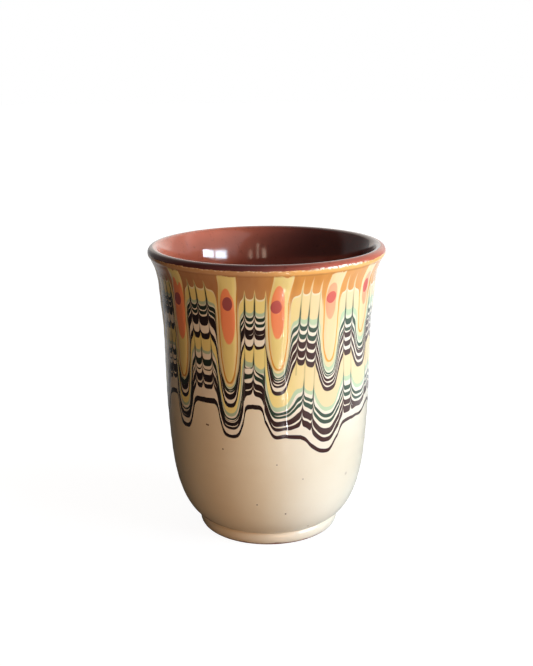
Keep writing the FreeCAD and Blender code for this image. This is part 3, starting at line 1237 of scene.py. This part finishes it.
# %% Draw the orange runs and the dots
side, bottom, top = read_attribute(tree, "run")
notch_depth, notch_place, top_slope = read_attribute(tree, "run_top")
wide_share = divided(tree, side, run_half_width)
from_notch = minus(tree, wide_share, notch_place)
notch = calc(tree, "EXPONENT", times(tree, times(tree, from_notch, from_notch), -9.0))
top = minus(tree, top, times(tree, notch, notch_depth))
top = minus(tree, top, times(tree, wide_share, top_slope))
centre = times(tree, calc(tree, "ADD", bottom, top), 0.5)
half_tall = times(tree, minus(tree, top, bottom), 0.5)
tall_share = divided(tree, minus(tree, spot_height, centre), half_tall)
squareness = ramp(tree, tall_share, -0.3, 0.5, 2.0, 3.6)
oval = calc(
    tree, "ADD",
    calc(tree, "POWER", calc(tree, "ABSOLUTE", tall_share), squareness),
    calc(tree, "POWER", calc(tree, "ABSOLUTE", wide_share), 2.2),
)
oval = calc(tree, "MULTIPLY_ADD", wobble, 0.16, oval)
orange_here = blend(tree, ramp(tree, run_streaks, 0.3, 0.7, 0, 0.3), slip("orange"), rgb(0.84, 0.24, 0.09))
orange_mask = ramp(tree, oval, 0.9, 1.08, 1.0, 0.0)
colour = blend(tree, orange_mask, colour, orange_here)
side, centre, tall = read_attribute(tree, "dot")
tall_share = divided(tree, minus(tree, spot_height, centre), tall)
disc = calc(tree, "MULTIPLY_ADD", wobble, 0.10, length(tree, side, tall_share))
dot_mask = ramp(tree, disc, 0.92, 1.03, 1.0, 0.0)
colour = blend(tree, dot_mask, colour, slip("dark_red"))

# %% Collar, lip and foot
collar_groove = 96.5           # mm above the table
foot_groove = 4.8
ragged = minus(tree, noise(tree, place, 320.0, 3.0, 0.7), 0.5)
slip_top = calc(tree, "MULTIPLY_ADD", ragged, 0.9, 98.3)
collar_mask = ramp(tree, calc(tree, "MULTIPLY_ADD", ragged, 1.0, spot_height), 96.3, 97.2, 0.0, 0.9)
colour = blend(tree, collar_mask, colour, slip("collar"))
# Painted shade: a dark line in the collar's groove.
from_groove = calc(tree, "ABSOLUTE", minus(tree, spot_height, collar_groove))
collar_painted_shade = ramp(tree, from_groove, 0.1, 0.5, 0.30, 0.0)
collar_painted_shade = times(tree, collar_painted_shade, ramp(tree, ragged, -0.15, 0.05, 0.2, 1.0))
colour = blend(tree, collar_painted_shade, colour, rgb(0.30, 0.12, 0.045))
over_slip = minus(tree, spot_height, slip_top)
flakes = noise(tree, place, 1100.0, 2.0, 0.6)
flake_share = ramp(tree, flakes, 0.45, 0.62, 0.1, 0.8)
flaky_edge = times(tree, ramp(tree, over_slip, -0.55, -0.15), flake_share)
colour = blend(tree, flaky_edge, colour, pale_orange)
# Partly real, partly painted: chips of the ragged slip edge, painted pale as glints, and only on the lit
# right side.
glint_side = ramp(tree, parts.outputs["X"], 12 * MM, 20 * MM)
glint_side = times(tree, glint_side, ramp(tree, parts.outputs["X"], 29 * MM, 33 * MM, 1.0, 0.0))
chip_glints = times(tree, ramp(tree, over_slip, -0.5, -0.1), ramp(tree, flakes, 0.42, 0.5))
lip_mask = ramp(tree, over_slip, -0.08, 0.08)
# Painted shade and light: the lip's red glaze is painted darker on the left and brighter on the right.
lip_light_share = ramp(tree, parts.outputs["X"], -10 * MM, 32 * MM)
lip_painted_shading = blend(tree, lip_light_share, rgb(0.25, 0.28, 0.42), rgb(1.2, 1.0, 0.90))
lip_glaze = blend(tree, 1.0, place_group(tree, glaze_group, "Color"), lip_painted_shading, "MULTIPLY")
colour = blend(tree, lip_mask, colour, lip_glaze)
chip_glints = times(tree, chip_glints, ramp(tree, over_slip, 0.25, 0.45, 1.0, 0.0))
colour = blend(tree, times(tree, chip_glints, glint_side), colour, rgb(0.95, 0.86, 0.68))
specks = place_group(tree, speck_group, "Mask", Scale=150.0, Amount=0.035)
colour = blend(tree, times(tree, specks, 0.6), colour, rgb(0.25, 0.13, 0.08))
marks = [                      # place and radius, in mm, of the grit that the photo shows
    (-19.5, -28.9, 45.4, 0.42), (-20.0, -28.6, 45.5, 0.36), (-14.7, -31.2, 37.9, 0.34),
    (2.8, -34.0, 33.3, 0.26), (11.3, -31.6, 27.4, 0.24), (5.6, -30.4, 14.6, 0.34),
    (-3.8, -31.9, 18.5, 0.30), (-24.0, -26.4, 60.0, 0.3),
]
for x, y, z, size in marks:
    gap = node(tree, "ShaderNodeVectorMath", operation="DISTANCE")
    feed(tree, place, gap.inputs[0])
    gap.inputs[1].default_value = (x * MM, y * MM, z * MM)
    mark = ramp(tree, gap.outputs["Value"], 0.5 * size * MM, 1.1 * size * MM, 0.95, 0.0)
    colour = blend(tree, mark, colour, rgb(0.12, 0.06, 0.04))
from_groove = calc(tree, "ABSOLUTE", minus(tree, spot_height, foot_groove))
groove_shade = ramp(tree, from_groove, 0.1, 1.2, 0.30, 0.0)
colour = blend(tree, groove_shade, colour, rgb(0.52, 0.37, 0.24))
foot_band = ramp(tree, spot_height, 3.4, 4.6, 0.45, 0.0)
colour = blend(tree, foot_band, colour, rgb(0.92, 0.84, 0.70))
foot_edge = calc(tree, "MULTIPLY_ADD", ragged, 1.3, 0.75)
foot_mask = ramp(tree, spot_height, foot_edge, calc(tree, "ADD", foot_edge, 0.2), 1.0, 0.0)
colour = blend(tree, foot_mask, colour, bare_clay)
mottled = blend(tree, ramp(tree, mottle, 0.3, 0.7, 0.0, 0.10), colour, rgb(0.70, 0.52, 0.34), "MULTIPLY")

# %% Gloss of the outside
slip_height = place_group(tree, ripple_group, "Height", Size=1.0, Depth=1.0)
for raised, share in ((ring_mask, -0.15), (tongue_mask, 0.15), (orange_mask, 0.15), (dot_mask, 0.20)):
    slip_height = calc(tree, "MULTIPLY_ADD", raised, share, slip_height)
bump = node(tree, "ShaderNodeBump")
bump.inputs["Strength"].default_value = 0.35
bump.inputs["Distance"].default_value = 0.0003
feed(tree, slip_height, bump.inputs["Height"])
shader = node(tree, "ShaderNodeBsdfPrincipled")
feed(tree, mottled, shader.inputs["Base Color"])
gloss = ramp(tree, mottle, 0.3, 0.7, 0.14, 0.20)
gloss = calc(tree, "MULTIPLY_ADD", foot_mask, 0.5, gloss)
gloss = calc(tree, "MULTIPLY_ADD", groove_shade, 0.5, gloss)
gloss = calc(tree, "MULTIPLY_ADD", lip_mask, 0.06, gloss)
wet_run = node(tree, "ShaderNodeAttribute", attribute_type="GEOMETRY", attribute_name="glaze_run")
gloss = times(tree, gloss, calc(tree, "MULTIPLY_ADD", wet_run.outputs["Fac"], -0.75, 1.0))
feed(tree, gloss, shader.inputs["Roughness"])
shader.inputs["IOR"].default_value = 1.42
feed(tree, bump.outputs[0], shader.inputs["Normal"])
feed(tree, shader.outputs[0], node(tree, "ShaderNodeOutputMaterial").inputs["Surface"])
print("outside steps:", len(tree.nodes))

# %% Inside glaze
# Bright on the left and dark on the right, as the photo's light has it.
inside, tree = new_material("red_brown_lining")
shader = node(tree, "ShaderNodeBsdfPrincipled")
shader.inputs["IOR"].default_value = 1.72
place = node(tree, "ShaderNodeTexCoord").outputs["Object"]
parts = node(tree, "ShaderNodeSeparateXYZ")
feed(tree, place, parts.inputs[0])
dark_share = ramp(tree, parts.outputs["X"], -30 * MM, 20 * MM)
lining_tint = blend(tree, dark_share, rgb(1.75, 1.47, 1.13), rgb(0.34, 0.34, 0.45))
lining = blend(tree, 1.0, place_group(tree, glaze_group, "Color"), lining_tint, "MULTIPLY")
feed(tree, lining, shader.inputs["Base Color"])
feed(tree, ramp(tree, noise(tree, place, 70.0), 0.3, 0.7, 0.07, 0.13), shader.inputs["Roughness"])
bump = node(tree, "ShaderNodeBump")
bump.inputs["Strength"].default_value = 0.35
bump.inputs["Distance"].default_value = 0.00012
feed(tree, place_group(tree, ripple_group, "Height", Size=0.8, Depth=1.2), bump.inputs["Height"])
feed(tree, bump.outputs[0], shader.inputs["Normal"])
feed(tree, shader.outputs[0], node(tree, "ShaderNodeOutputMaterial").inputs["Surface"])

# %% Bare clay under the foot
underside, tree = new_material("bare_red_clay")
shader = node(tree, "ShaderNodeBsdfPrincipled")
place = node(tree, "ShaderNodeTexCoord").outputs["Object"]
grain = noise(tree, place, 700.0, 4.0, 0.65)
clay = blend(tree, ramp(tree, grain, 0.3, 0.7), rgb(0.27, 0.10, 0.055), rgb(0.40, 0.17, 0.10))
specks = place_group(tree, speck_group, "Mask", Scale=420.0, Amount=0.12)
clay = blend(tree, times(tree, specks, 0.7), clay, rgb(0.12, 0.05, 0.03))
feed(tree, clay, shader.inputs["Base Color"])
feed(tree, ramp(tree, grain, 0.3, 0.7, 0.62, 0.8), shader.inputs["Roughness"])
bump = node(tree, "ShaderNodeBump")
bump.inputs["Strength"].default_value = 0.5
bump.inputs["Distance"].default_value = 0.0001
feed(tree, grain, bump.inputs["Height"])
feed(tree, bump.outputs[0], shader.inputs["Normal"])
feed(tree, shader.outputs[0], node(tree, "ShaderNodeOutputMaterial").inputs["Surface"])

# %% Give each face its finish
for finish in (slipware, inside, underside):
    mesh.materials.append(finish)
first_corner = np.concatenate(([0], np.cumsum(face_sizes)[:-1]))
face_finish = np.where(inner[first_corner], 1, np.where(under[first_corner], 2, 0))
mesh.polygons.foreach_set("material_index", face_finish.astype(np.int32))
mesh.update()
print("faces by finish:", np.bincount(face_finish))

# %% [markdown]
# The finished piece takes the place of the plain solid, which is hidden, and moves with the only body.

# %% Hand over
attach(tumbler, "root")
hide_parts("tumbler")
